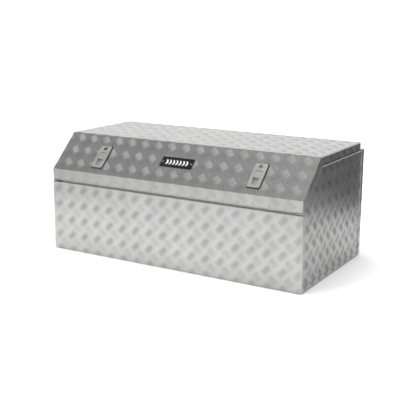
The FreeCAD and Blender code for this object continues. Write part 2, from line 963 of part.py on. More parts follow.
def build_face(side):
    """Face plate with the pressed dish, the lock hole and four studs behind it."""
    body = latch_body("face", side)
    half_across, half_up = sized("face_width") / 2, sized("face_height") / 2
    sketch = new_sketch(body, "XY_Plane", face_low)
    add_rectangle(sketch, -half_across, half_across, -half_up, half_up)
    pad(body, sketch, sized("face_thick"))
    rounded(body, sized("face_corner"), upright_edge)
    rounded(body, sized("edge_softness"), flat_edge_at(face_top))
    outer = new_sketch(body, "XY_Plane", dish_floor - wall)
    add_outline(outer, dish_outline(wall))
    pad(body, outer, face_low - dish_floor + wall)
    inner = new_sketch(body, "XY_Plane", face_top + 1)
    add_outline(inner, dish_outline(0))
    pocket(body, inner, face_top + 1 - dish_floor)
    slot = new_sketch(body, "XY_Plane", dish_floor)
    add_rectangle(slot, slot_near, slot_far, -26, 10)
    pocket(body, slot, wall * 4, symmetric=True)
    lock_hole = new_sketch(body, "XY_Plane", face_low)
    add_circle(lock_hole, (0, lock_up), lock_radius + 0.1)
    pocket(body, lock_hole, 20, symmetric=True)
    pin_hole = new_sketch(body, "YZ_Plane", 0)
    add_circle(pin_hole, paddle_pin_point, small_pin + 0.1)
    pocket(body, pin_hole, 60, symmetric=True)
    studs = new_sketch(body, "XY_Plane", -7)
    for centre in stud_centres():
        add_circle(studs, centre, sized("stud_radius"))
    pad(body, studs, face_low + 7.5)


def build_paddle(side):
    """Paddle with its boss, finger lip and the tab whose cross pin lifts the lever."""
    body = latch_body("paddle", side)
    half = sized("paddle_half")
    under = face_top - sized("paddle_thick")
    low, high = -sized("paddle_low"), sized("paddle_high")
    lip = sized("paddle_lip")
    slab(body, [
        (high, under), (high, face_top), (low, face_top), (low, under - lip),
        (low + 1.6, under - lip), (low + 1.6, under),
    ], -half, half)
    rounded(body, sized("edge_softness"), flat_edge_at(face_top))
    boss = new_sketch(body, "YZ_Plane", -half)
    add_circle(boss, paddle_pin_point, 3.1)
    pad(body, boss, half * 2)
    link_y, link_z = link_point
    slab(body, [
        (link_y + 8, under + 0.5), (link_y - 4, under + 0.5),
        (link_y - 3, link_z - 2.5), (link_y + 2.5, link_z - 2.5),
    ], as_size(-2), as_size(1))
    link = new_sketch(body, "YZ_Plane", -2)
    add_circle(link, link_point, small_pin)
    pad(body, link, 8.5)
    bore = new_sketch(body, "YZ_Plane", 0)
    add_circle(bore, paddle_pin_point, small_pin + running)
    pocket(body, bore, 60, symmetric=True)


def build_cross_pin(name, side, point, radius, length):
    body = latch_body(name, side)
    sketch = new_sketch(body, "YZ_Plane", 0)
    add_circle(sketch, point, radius)
    pad(body, sketch, length, symmetric=True)


lever_pin = as_size(2)
cheek_out = as_size(11)


def build_bracket(side):
    """Channel under the dish whose two cheeks carry the lever's pin."""
    body = latch_body("bracket", side)
    top = dish_floor - wall - gap
    web = new_sketch(body, "XY_Plane", top - wall)
    add_rectangle(web, -cheek_out, cheek_out, -44, 14)
    pad(body, web, wall)
    pin_y, pin_z = lever_pin_point
    for start in (-cheek_out, cheek_out - wall):
        slab(body, [
            (-44, top), (-44, pin_z + 2), (pin_y - 5, pin_z - 5),
            (pin_y + 5, pin_z - 5), (-12, top),
        ], start, start + wall)
    slot = new_sketch(body, "XY_Plane", top)
    add_rectangle(slot, slot_near, slot_far, -44.5, 10)
    pocket(body, slot, wall * 4, symmetric=True)
    bore = new_sketch(body, "YZ_Plane", 0)
    add_circle(bore, lever_pin_point, lever_pin + 0.1)
    pocket(body, bore, 60, symmetric=True)


def build_hook(side):
    """Hook lever: a slotted end round the paddle's cross pin, a toe behind the striker."""
    body = latch_body("hook", side)
    link_y, link_z = link_point
    pin_y, pin_z = lever_pin_point
    start, end = as_size(2.5), as_size(5.5)
    slab(body, [
        (link_y + 6.5, link_z + 2), (link_y + 5, link_z + 5.2), (link_y - 2, link_z + 4.2),
        (pin_y - 4, pin_z + 5), (pin_y - 9, pin_z + 1), (-64, -43), (-66.1, -44.7), (-70.1, -40.9),
        (-74.9, -46), (-67.2, -56), (-53.9, -50.7), (pin_y + 2, pin_z - 6),
        (pin_y + 9, pin_z - 3), (link_y + 1, link_z - 4.5), (link_y + 6, link_z - 2.5),
    ], start, end)
    bore = new_sketch(body, "YZ_Plane", 4)
    add_circle(bore, lever_pin_point, lever_pin + running)
    pocket(body, bore, 12, symmetric=True)
    reach_y, reach_z = link_y - pin_y, link_z - pin_z
    reach = root_of(reach_y * reach_y + reach_z * reach_z)
    along = (reach_y / reach, reach_z / reach)
    half_slot = small_pin + 0.5
    slot = new_sketch(body, "YZ_Plane", 4)
    corners = []
    for forward, aside in ((-2.3, -1), (4.1, -1), (4.1, 1), (-2.3, 1)):
        lateral = half_slot * aside
        corners.append((
            link_y + along[0] * forward - along[1] * lateral,
            link_z + along[1] * forward + along[0] * lateral,
        ))
    add_outline(slot, corners)
    pocket(body, slot, 12, symmetric=True)


def build_spring(side):
    """Torsion spring coiled round the lever's pin."""
    suffix = "right" if side > 0 else "left"
    wire, radius, turns, pitch = 0.6, 3.4, 6, 1.35
    helix = Part.makeHelix(pitch, pitch * turns, radius)
    profile = Part.Wire(Part.makeCircle(wire, FreeCAD.Vector(radius, 0, 0), FreeCAD.Vector(0, 1, 0)))
    coil = Part.Wire(helix.Edges).makePipeShell([profile], True, True)
    tilt = FreeCAD.Rotation(FreeCAD.Vector(0, 1, 0), 90)
    seat = FreeCAD.Vector(-8.1, lever_pin_point[0].value, lever_pin_point[1].value)
    spring = doc.addObject("Part::Feature", f"latch_{suffix}_spring")
    spring.Label = f"latch_{suffix}_spring"
    spring.Shape = coil
    frame = slope_placement(sized("latch_down").value, side * sized("latch_offset").value)
    spring.Placement = frame.multiply(FreeCAD.Placement(seat, tilt))
    pieces.append(spring)


def build_lock(side):
    """Lock barrel with its nut, the plug that the key turns, and the cam on its end."""
    centre = (0, lock_up)
    foot = face_top - sized("lock_length") - 2
    barrel = latch_body("lock_barrel", side)
    tube = new_sketch(barrel, "XY_Plane", foot)
    add_circle(tube, centre, lock_radius)
    pad(barrel, tube, face_top + 0.2 - foot)
    flange = new_sketch(barrel, "XY_Plane", face_top + 0.1)
    add_circle(flange, centre, lock_radius + 1.4)
    pad(barrel, flange, 1)
    bore = new_sketch(barrel, "XY_Plane", 0)
    add_circle(bore, centre, plug_radius + running)
    pocket(barrel, bore, 80, symmetric=True)

    nut = latch_body("lock_nut", side)
    hexagon = new_sketch(nut, "XY_Plane", face_low - gap - 4)
    across = 11.5
    add_outline(hexagon, [
        (across * math.cos(math.radians(60 * step)),
         lock_up + across * math.sin(math.radians(60 * step)))
        for step in range(6)
    ])
    pad(nut, hexagon, 4)
    thread = new_sketch(nut, "XY_Plane", 0)
    add_circle(thread, centre, lock_radius + running)
    pocket(nut, thread, 30, symmetric=True)

    plug = latch_body("lock_plug", side)
    core = new_sketch(plug, "XY_Plane", foot)
    add_circle(core, centre, plug_radius)
    pad(plug, core, face_top + 1.1 - foot)
    tail = new_sketch(plug, "XY_Plane", foot - 2.6)
    add_circle(tail, centre, 3)
    pad(plug, tail, 2.7)
    peened = new_sketch(plug, "XY_Plane", foot - 3.6)
    add_circle(peened, centre, 4)
    pad(plug, peened, 1)
    keyway = new_sketch(plug, "XY_Plane", face_top + 1.1)
    add_outline(keyway, [
        (-1.1, lock_up - 4), (1.1, lock_up - 4), (1.1, lock_up + 1.2), (2, lock_up + 2.2),
        (2, lock_up + 4), (-2, lock_up + 4), (-2, lock_up + 2.2), (-1.1, lock_up + 1.2),
    ])
    pocket(plug, keyway, 12)

    cam = latch_body("lock_cam", side)
    arm = new_sketch(cam, "XY_Plane", foot - 2.3)
    add_outline(arm, [
        (-5, lock_up - 4), (0, lock_up - 5), (14, lock_up - 4),
        (14, lock_up + 4), (0, lock_up + 5), (-5, lock_up + 4),
    ])
    pad(cam, arm, 2)
    eye = new_sketch(cam, "XY_Plane", foot)
    add_circle(eye, centre, 3.05)
    pocket(cam, eye, 20, symmetric=True)


def build_stud_nuts(side):
    body = latch_body("nuts", side)
    top = -(plate + gap)
    blanks = new_sketch(body, "XY_Plane", top - 2.4)
    across = 3.1
    for centre_x, centre_y in stud_centres():
        add_outline(blanks, [
            (centre_x + across * math.cos(math.radians(60 * step)),
             centre_y + across * math.sin(math.radians(60 * step)))
            for step in range(6)
        ])
    pad(body, blanks, 2.4)
    threads = new_sketch(body, "XY_Plane", top)
    for centre in stud_centres():
        add_circle(threads, centre, sized("stud_radius") + running)
    pocket(body, threads, 20, symmetric=True)


def build_latch(side):
    build_gasket(side)
    build_face(side)
    build_paddle(side)
    build_cross_pin("paddle_pin", side, paddle_pin_point, small_pin, 33)
    build_bracket(side)
    build_hook(side)
    build_cross_pin("lever_pin", side, lever_pin_point, lever_pin, 25)
    build_spring(side)
    build_lock(side)
    build_stud_nuts(side)


# ---------------------------------------------------------------- strikers

striker_rivet_reach = 13
striker_rivet_centres = [
    sized("latch_offset") * side + striker_rivet_reach * step
    for side in (-1, 1) for step in (-1, 1)
]


def build_striker(side):
    """Angle riveted behind the front upstand; its shelf holds the hook's toe down."""
    suffix = "right" if side > 0 else "left"
    body = new_body(f"striker_{suffix}")
    middle = sized("latch_offset") * side
    half = sized("striker_width") / 2
    rear_face = back(upstand_front + plate + gap)
    reach = back(sized("striker_reach"))
    foot, top = sized("striker_foot"), sized("striker_top")
    slab(body, [
        (rear_face, foot), (rear_face + 2, foot), (rear_face + 2, top - 2.5),
        (reach, top - 2.5), (reach, top), (rear_face, top),
    ], middle - half, middle + half)
    holes = new_sketch(body, "XZ_Plane", -rear_face)
    for step in (-1, 1):
        centre = (middle + striker_rivet_reach * step, sized("striker_rivet_height"))
        add_circle(holes, centre, rivet_hole)
    pocket(body, holes, 10, symmetric=True)
    head = FreeCAD.Placement(
        FreeCAD.Vector(middle.value, back(upstand_front).value,
                       sized("striker_rivet_height").value),
        FreeCAD.Rotation(FreeCAD.Vector(1, 0, 0), 90))
    build_rivet_row(f"striker_{suffix}_rivets", head, plate + gap + 2,
                    as_size(2 * striker_rivet_reach), 2)


# ---------------------------------------------------------------- gas struts

strut_across = sized("strut_across")
strut_radius = sized("strut_radius")
ball = sized("ball_radius")
socket_radius = sized("socket_radius")


def strut_points():
    """Ball centres on the body and on the lid, both at the same distance from the hinge."""
    rise_to_lid = sized("strut_lid_height").value - axis_z.value
    reach = strut_radius.value
    lid_angle = math.pi - math.asin(rise_to_lid / reach)
    body_angle = lid_angle + math.radians(sized("strut_angle").value)
    lid_point = (axis_y.value + reach * math.cos(lid_angle),
                 axis_z.value + reach * math.sin(lid_angle))
    body_point = (axis_y.value + reach * math.cos(body_angle),
                  axis_z.value + reach * math.sin(body_angle))
    return body_point, lid_point


body_ball, lid_ball = strut_points()
strut_length = math.hypot(lid_ball[0] - body_ball[0], lid_ball[1] - body_ball[1])
strut_tilt = math.degrees(math.asin((body_ball[0] - lid_ball[0]) / strut_length))


def strut_frame(side, point, turn=0.0):
    """Frame at a ball centre with local Z along the strut; the turn is about world X."""
    spin = FreeCAD.Rotation(FreeCAD.Vector(1, 0, 0), strut_tilt + turn)
    place = FreeCAD.Vector(side * strut_across.value, point[0], point[1])
    return FreeCAD.Placement(place, spin)


def build_socket(label, frame, side, stem_end):
    """Ball socket: a round cup open toward the stud, with a stem along the strut."""
    body = new_body(label)
    body.Placement = frame
    cup = new_sketch(body, "YZ_Plane", -6.5 if side > 0 else -4)
    add_circle(cup, (0, 0), socket_radius)
    pad(body, cup, 10.5)
    stem = new_sketch(body, "XY_Plane", 3)
    add_circle(stem, (0, 0), 5)
    pad(body, stem, stem_end - 3)
    hollow = new_sketch(body, "XZ_Plane")
    round_hollow(hollow, ball + 0.06)
    groove = feature_of(body, "Groove", hollow)
    groove.ReferenceAxis = (hollow, ["V_Axis"])
    groove.Angle = 360
    doc.recompute()
    mouth = new_sketch(body, "YZ_Plane", 0)
    add_circle(mouth, (0, 0), ball - 0.6)
    pocket(body, mouth, 12, reverse=side > 0)


def round_hollow(sketch, radius):
    """Half disc right of the upright axis."""
    radius = as_size(radius)
    arc = sketch.addGeometry(Part.ArcOfCircle(
        Part.Circle(FreeCAD.Vector(0, 0, 0), FreeCAD.Vector(0, 0, 1), radius.value),
        -math.pi / 2, math.pi / 2))
    line = sketch.addGeometry(Part.LineSegment(
        FreeCAD.Vector(0, radius.value, 0), FreeCAD.Vector(0, -radius.value, 0)))
    sketch.addConstraint(Sketcher.Constraint("Coincident", arc, 2, line, 1))
    sketch.addConstraint(Sketcher.Constraint("Coincident", arc, 1, line, 2))
    sketch.addConstraint(Sketcher.Constraint("Coincident", arc, 3, -1, 1))
    sketch.addConstraint(Sketcher.Constraint("PointOnObject", line, 1, -2))
    sketch.addConstraint(Sketcher.Constraint("PointOnObject", line, 2, -2))
    held = sketch.addConstraint(Sketcher.Constraint("Radius", arc, radius.value))
    sketch.setExpression(f"Constraints[{held}]", radius.text)


def build_stud(body):
    """Ball stud along local Z in one turned piece: ball, neck, collar and riveted end."""
    neck = 3.2
    sketch = new_sketch(body, "XZ_Plane")
    neck_start = math.sqrt(ball.value ** 2 - neck ** 2)
    corners = [
        (neck, neck_start), (neck, 8), (6, 8), (6, 11), (neck, 11), (neck, 15.4),
        (5, 15.4), (5, 17.4), (0, 17.4), (0, -ball.value),
    ]
    vectors = [FreeCAD.Vector(across, up, 0) for across, up in corners]
    for start, end in zip(vectors, vectors[1:]):
        sketch.addGeometry(Part.LineSegment(start, end))
    last = len(vectors) - 2
    for number in range(last):
        sketch.addConstraint(Sketcher.Constraint("Coincident", number, 2, number + 1, 1))
    for number, corner in enumerate(corners[1:-1], start=1):
        place_point(sketch, number, 1, corner)
    arc = sketch.addGeometry(Part.ArcOfCircle(
        Part.Circle(FreeCAD.Vector(0, 0, 0), FreeCAD.Vector(0, 0, 1), ball.value),
        -math.pi / 2, math.atan2(neck_start, neck)))
    sketch.addConstraint(Sketcher.Constraint("Coincident", arc, 3, -1, 1))
    sketch.addConstraint(Sketcher.Constraint("Coincident", last, 2, arc, 1))
    sketch.addConstraint(Sketcher.Constraint("Coincident", arc, 2, 0, 1))
    sketch.addConstraint(Sketcher.Constraint("PointOnObject", last, 2, -2))
    sketch.addConstraint(Sketcher.Constraint("DistanceX", -1, 1, 0, 1, neck))
    held = sketch.addConstraint(Sketcher.Constraint("Radius", arc, ball.value))
    sketch.setExpression(f"Constraints[{held}]", ball.text)
    turning = feature_of(body, "Revolution", sketch)
    turning.ReferenceAxis = (sketch, ["V_Axis"])
    turning.Angle = 360
    doc.recompute()


def build_strut(side):
    suffix = "right" if side > 0 else "left"
    base = strut_frame(side, body_ball)
    head = strut_frame(side, lid_ball, 180)
    build_socket(f"strut_{suffix}_base_socket", base, side, sized("barrel_start") - 0.3)
    build_socket(f"strut_{suffix}_rod_socket", head, side, as_size(22))

    barrel = new_body(f"strut_{suffix}_barrel")
    barrel.Placement = base
    start, end = sized("barrel_start"), sized("barrel_end")
    outer, bore = sized("barrel_radius"), sized("barrel_bore")
    rod_bore = sized("rod_radius") + running
    turned(barrel, [
        (0, start), (outer - 3, start), (outer, start + 3), (outer, end - 2),
        (outer - 2, end), (rod_bore, end), (rod_bore, end - 12), (bore, end - 12),
        (bore, start + 4), (0, start + 4),
    ])

    rod = new_body(f"strut_{suffix}_rod")
    rod.Placement = head
    length = sized("rod_length")
    radius = sized("rod_radius")
    piston = bore - 0.06
    turned(rod, [
        (0, 22.3), (radius, 22.3), (radius, length - 8), (piston, length - 8),
        (piston, length), (0, length),
    ])

    body_bracket = new_body(f"strut_{suffix}_body_bracket")
    half_turn = FreeCAD.Rotation(FreeCAD.Vector(0, 0, 1), 0 if side > 0 else 180)
    body_bracket.Placement = FreeCAD.Placement(
        FreeCAD.Vector(side * strut_across.value, body_ball[0], body_ball[1]), half_turn)
    wall_face = panel_inner - gap - strut_across
    sketch = new_sketch(body_bracket, "XZ_Plane")
    add_outline(sketch, [
        (12, -12), (14.5, -12), (14.5, 12), (wall_face - 2.5, 12), (wall_face - 2.5, -22),
        (wall_face, -22), (wall_face, 14.5), (12, 14.5),
    ])
    pad(body_bracket, sketch, 36, symmetric=True)
    bore_stud(body_bracket)

    lid_bracket = new_body(f"strut_{suffix}_lid_bracket")
    lid_bracket.Placement = FreeCAD.Placement(
        FreeCAD.Vector(side * strut_across.value, lid_ball[0], lid_ball[1]), half_turn)
    top = height - plate - gap - lid_ball[1]
    sketch = new_sketch(lid_bracket, "XZ_Plane")
    add_outline(sketch, [
        (-14, top), (-14, top - 2.5), (12, top - 2.5), (12, -9), (14.5, -9), (14.5, top),
    ])
    pad(lid_bracket, sketch, 36, symmetric=True)
    bore_stud(lid_bracket)

    for name, point in (("body_stud", body_ball), ("lid_stud", lid_ball)):
        stud = new_body(f"strut_{suffix}_{name}")
        stud.Placement = FreeCAD.Placement(
            FreeCAD.Vector(side * strut_across.value, point[0], point[1]),
            FreeCAD.Rotation(FreeCAD.Vector(0, 1, 0), 90 * side))
        build_stud(stud)


def bore_stud(bracket):
    """Hole for the stud's neck through the bracket's tab."""
    sketch = new_sketch(bracket, "YZ_Plane", 13)
    add_circle(sketch, (0, 0), 3.35)
    pocket(bracket, sketch, 8, symmetric=True)


# ---------------------------------------------------------------- assembly

build_body_wrap()
build_side_panel("side_panel_left", -1)
build_side_panel("side_panel_right", 1)
build_rim_seal()
build_lid_shell()
build_hinge()
build_stiffeners()
build_rivet_row("stiffener_rivets", slope_placement(sized("stiffener_down").value),
                plate + gap + 2, sized("stiffener_rivet"), 3)
build_badge()
build_rivet_row("badge_rivets",
                slope_placement(sized("badge_down").value, 0, (gap + sized("badge_thick")).value),
                plate + gap + sized("badge_thick"), sized("badge_rivet") * 2, 2)
for latch_side in (-1, 1):
    build_latch(latch_side)
    build_striker(latch_side)
    build_strut(latch_side)

doc.recompute()
for item in doc.Objects:
    if "Invalid" in item.State or "Error" in item.State:
        raise RuntimeError(f"{item.Label} is not sound: {item.State}")
os.makedirs("parts", exist_ok=True)
for piece in pieces:
    if piece.Shape.isNull() or not piece.Shape.isValid():
        raise RuntimeError(f"{piece.Label} has no valid shape")
    piece.Shape.exportStep(f"parts/{piece.Label}.step")
print(f"{len(pieces)} pieces written")
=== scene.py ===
import json
import math

import bpy
import numpy as np
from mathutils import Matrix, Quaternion, Vector


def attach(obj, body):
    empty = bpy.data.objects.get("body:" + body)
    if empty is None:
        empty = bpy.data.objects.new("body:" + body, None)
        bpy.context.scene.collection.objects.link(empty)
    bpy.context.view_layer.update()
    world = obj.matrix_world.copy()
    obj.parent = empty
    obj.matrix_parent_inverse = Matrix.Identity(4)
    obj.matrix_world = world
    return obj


# Looks of the truck tool box: the raised bars of the tread plate, shaped bar by bar and bent
# round the folds, the metal, rubber and paint of every piece, and a pale studio.
# Metres, row frame: X along the box, -Y the front, +Z up.

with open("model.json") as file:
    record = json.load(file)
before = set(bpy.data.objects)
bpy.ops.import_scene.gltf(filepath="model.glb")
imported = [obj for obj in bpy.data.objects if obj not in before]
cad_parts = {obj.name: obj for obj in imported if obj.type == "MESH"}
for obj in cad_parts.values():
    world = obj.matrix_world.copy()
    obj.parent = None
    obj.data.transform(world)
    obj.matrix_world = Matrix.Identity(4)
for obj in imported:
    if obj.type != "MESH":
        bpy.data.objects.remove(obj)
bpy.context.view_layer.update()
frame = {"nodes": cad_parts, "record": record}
nodes = frame["nodes"]

# ---------------------------------------------------------------- outline of the sheets

BACK = 0.305            # half the depth, so also the front
HALF_WIDTH = 0.600
LID_HALF = 0.5975       # half the lid's length
LID_TOP = 0.500
LID_REAR = 0.266
SLOPE_TOP = -0.155
LIP_TOP = 0.358
SKIRT = 0.032           # depth of the lid's side skirts
SLOPE = math.hypot(SLOPE_TOP + BACK, LID_TOP - LIP_TOP)
SLOPE_COS = (SLOPE_TOP + BACK) / SLOPE
SLOPE_SIN = (LID_TOP - LIP_TOP) / SLOPE
LIP_FOOT = LIP_TOP - SKIRT / SLOPE_COS
KNEE_Y = SLOPE_TOP + SKIRT * (SLOPE - SLOPE_TOP - BACK) / (LID_TOP - LIP_TOP)
FRONT_TOP = 0.302
LEDGE_TOP = 0.467
LEDGE_FRONT = 0.301     # front edge of the ledge behind the lid
FLANGE_REAR = -0.2835   # rear edge of the flange along the top of the front
FOLD = 0.004            # outer radius of every fold
PANEL_FACE = 0.5972     # outer face of the side panels
RIM_DROP = 0.037        # side panels' top edge below the lid's outline
STRIP_LOW, STRIP_REAR, STRIP_FRONT = 0.0225, 0.025, 0.020   # flanges over the side panels
LATCH_X, LATCH_DOWN = 0.374, 0.118    # from the middle, and down the slope
BADGE_DOWN = 0.1025
RIVET_X, RIVET_DOWN = 0.531, 0.065    # rivets of the lid's stiffeners

# ---------------------------------------------------------------- tread pattern

# Groups of five bars lean one way and the other by turns. Lanes run along a bar, and lane
# places are in half widths from its middle, the last lanes being a low apron beside one flank
# that carries painted shade.

PITCH = 0.0678
BAR_LENGTH = 0.031
BAR_WIDTH = 0.0054
BAR_HEIGHT = 0.0011
BAR_STEP = 0.0083
LANES = np.array([-1.0, -0.68, -0.3, 0.25, 0.58, 0.92, 1.8])
LANE_HEIGHT = np.array([-0.06, 0.9, 1.0, 1.0, 0.92, 0.2, 0.02])
SHADED_LANES = 2
STATIONS = np.array([-1.0, -0.8, -0.42, 0.0, 0.42, 0.8, 1.0])
FINE_STATIONS = np.linspace(-1.0, 1.0, 17)
SAMPLES = np.linspace(-1.0, 1.0, 41)
SINK = 0.00004          # how far the edge of a bar reaches into the sheet
SHORTEST_CUT = 6        # samples that a cut bar must keep
LID_PHASE = (0.0075, 0.0439)
BODY_PHASE = (0.0075, 0.0855)
PANEL_PHASE = (0.012, 0.035)
FLANGE_PHASE = (-0.003, 0.022)
SKIRT_PHASE = (0.020, 0.005)


def taper(along):
    """Width of a bar along its length, full in the middle and narrow at the tips."""
    return 0.18 + 0.82 * np.sqrt(np.clip(1 - np.abs(along) ** 2.6, 0, 1))


def crown(along):
    """Height of a bar along its length."""
    return np.clip(1 - np.abs(along) ** 4, 0, 1)


class Strip:
    """A folded sheet seen flat: `across` is X, `along` runs down the outline in Y and Z."""

    lean = -1
    shaded = (0, -1)

    def __init__(self, outline, radius):
        self.pieces = []
        self.folds = []
        points = [np.array(p, float) for p in outline]
        place = points[0]
        along = 0.0
        for number in range(1, len(points)):
            step = points[number] - points[number - 1]
            heading = step / np.linalg.norm(step)
            if number == len(points) - 1:
                length = np.linalg.norm(points[number] - place)
                self.pieces.append(("line", along, along + length, place, heading))
                along += length
                continue
            following = points[number + 1] - points[number]
            following = following / np.linalg.norm(following)
            turn = heading[0] * following[1] - heading[1] * following[0]
            angle = math.asin(max(-1, min(1, turn)))
            if heading @ following < -1e-9:
                angle = math.copysign(math.pi, angle) - angle
            setback = radius * math.tan(abs(angle) / 2)
            corner_start = points[number] - heading * setback
            length = np.linalg.norm(corner_start - place)
            self.pieces.append(("line", along, along + length, place, heading))
            along += length
            side = np.array([-heading[1], heading[0]]) * math.copysign(1, angle)
            middle = corner_start + side * radius
            arc = radius * abs(angle)
            self.pieces.append(("arc", along, along + arc, middle, heading, angle, radius))
            self.folds.append(along + arc / 2)
            along += arc
            place = points[number] + following * setback
        self.length = along

    def place(self, across, along, height):
        """Points in space; the outward side is to the right of the outline's heading."""
        y = np.zeros_like(along)
        z = np.zeros_like(along)
        last = len(self.pieces) - 1
        for number, piece in enumerate(self.pieces):
            kind, start, end = piece[:3]
            inside = (along >= start) | (number == 0)
            inside &= (along < end) | (number == last)
            if kind == "line":
                base, heading = piece[3:]
                travelled = along - start
                outward = np.array([heading[1], -heading[0]])
                new_y = base[0] + heading[0] * travelled + outward[0] * height
                new_z = base[1] + heading[1] * travelled + outward[1] * height
            else:
                middle, heading, angle, radius = piece[3:]
                bend = (along - start) / radius * math.copysign(1, angle)
                out_y = heading[1] * np.cos(bend) + heading[0] * np.sin(bend)
                out_z = -heading[0] * np.cos(bend) + heading[1] * np.sin(bend)
                reach = radius * math.copysign(1, angle) + height
                new_y = middle[0] + out_y * reach
                new_z = middle[1] + out_z * reach
            y = np.where(inside, new_y, y)
            z = np.where(inside, new_z, z)
        return np.stack([across, y, z], axis=-1)


class Side:
    """A flat side of the box: `across` is Y and `along` is Z."""

    folds = ()
    shaded = (-1, 0)

    def __init__(self, x):
        self.x = x
        self.lean = math.copysign(1, x)

    def place(self, across, along, height):
        return np.stack([self.x + math.copysign(1, self.x) * height, across, along], axis=-1)


def box_limits(left, right, low, high):
    """Half planes (a, b, c) with a*across + b*along <= c that bound a rectangle."""
    return [(-1, 0, -left), (1, 0, right), (0, -1, -low), (0, 1, high)]


def through(first, second, inner):
    """Half plane whose edge runs through two points, on the side of a third."""
    normal = np.array([second[1] - first[1], first[0] - second[0]])
    normal = normal / np.linalg.norm(normal)
    level = float(normal @ np.array(first))
    if normal @ np.array(inner) > level:
        normal, level = -normal, -level
    return (normal[0], normal[1], level)


def allowed(across, along, limits, keep_out):
    """Which points are within all limits and outside every keep-out rectangle."""
    inside = np.ones(across.shape, bool)
    for a, b, c in limits:
        inside &= a * across + b * along <= c + 1e-9
    for left, right, low, high in keep_out:
        inside &= ~((across > left) & (across < right) & (along > low) & (along < high))
    return inside


def bar_centres(limits, phase, lean, shaded):
    """Centre, direction and cross direction of each bar whose group is near the region."""
    corners = []
    count = len(limits)
    for i in range(count):
        for j in range(i + 1, count):
            pair = np.array([limits[i][:2], limits[j][:2]])
            if abs(np.linalg.det(pair)) > 1e-6:
                point = np.linalg.solve(pair, [limits[i][2], limits[j][2]])
                if allowed(point[:1], point[1:], limits, ())[0]:
                    corners.append(point)
    corners = np.array(corners)
    low, high = corners.min(0) - PITCH / 2, corners.max(0) + PITCH / 2
    rows = []
    for kind in (0, 1):
        start = np.array(phase) + kind * PITCH / 2
        turn = math.radians(45 if kind == 0 else -45) * lean
        heading = np.array([math.cos(turn), math.sin(turn)])
        cross = np.array([-heading[1], heading[0]])
        if cross @ np.array(shaded) < 0:
            heading, cross = -heading, -cross
        first = np.floor((low - start) / PITCH).astype(int)
        last = np.ceil((high - start) / PITCH).astype(int)
        for i in range(first[0], last[0] + 1):
            for j in range(first[1], last[1] + 1):
                middle = start + PITCH * np.array([i, j])
                for number in range(-2, 3):
                    rows.append((middle + cross * BAR_STEP * number, heading, cross))
    return [np.array(column) for column in zip(*rows)]


def cut_ranges(centres, headings, crosses, limits, keep_out):
    """Start and end of every lane of every bar inside the region, and which bars remain."""
    def inside(along):
        offset = LANES[None, :, None] * taper(along) * BAR_WIDTH / 2
        point = (
            centres[:, None, None, :]
            + headings[:, None, None, :] * (along * BAR_LENGTH / 2)[..., None]
            + crosses[:, None, None, :] * offset[..., None]
        )
        return allowed(point[..., 0], point[..., 1], limits, keep_out)

    shape = (len(centres), len(LANES), 1)
    grid = np.broadcast_to(SAMPLES, shape[:2] + (len(SAMPLES),))
    mask = inside(grid)
    starts = np.full(shape[:2], -1.0)
    ends = np.full(shape[:2], 1.0)
    keep = np.ones(len(centres), bool)
    for number in np.nonzero(~mask.all(axis=(1, 2)))[0]:
        middle_lane = mask[number].all(axis=0)
        best, run_start = (0, 0), None
        for place, good in enumerate(np.append(middle_lane, False)):
            if good and run_start is None:
                run_start = place
            if not good and run_start is not None:
                if place - run_start > best[1] - best[0]:
                    best = (run_start, place)
                run_start = None
        if best[1] - best[0] < SHORTEST_CUT:
            keep[number] = False
            continue
        for lane in range(len(LANES)):
            first, last = best[0], best[1] - 1
            row = mask[number, lane]
            while first > 0 and row[first - 1]:
                first -= 1
            while last < len(SAMPLES) - 1 and row[last + 1]:
                last += 1
            starts[number, lane] = SAMPLES[first]
            ends[number, lane] = SAMPLES[last]
    step = SAMPLES[1] - SAMPLES[0]
    for limit, sign in ((starts, -1), (ends, 1)):
        free = (np.abs(limit) < 1) & keep[:, None]
        low, high = limit.copy(), limit + sign * step
        for _ in range(7):
            trial = (low + high) / 2
            good = inside(trial[..., None])[..., 0]
            low = np.where(good, trial, low)
            high = np.where(good, high, trial)
        limit[free] = low[free]
    return starts, ends, keep


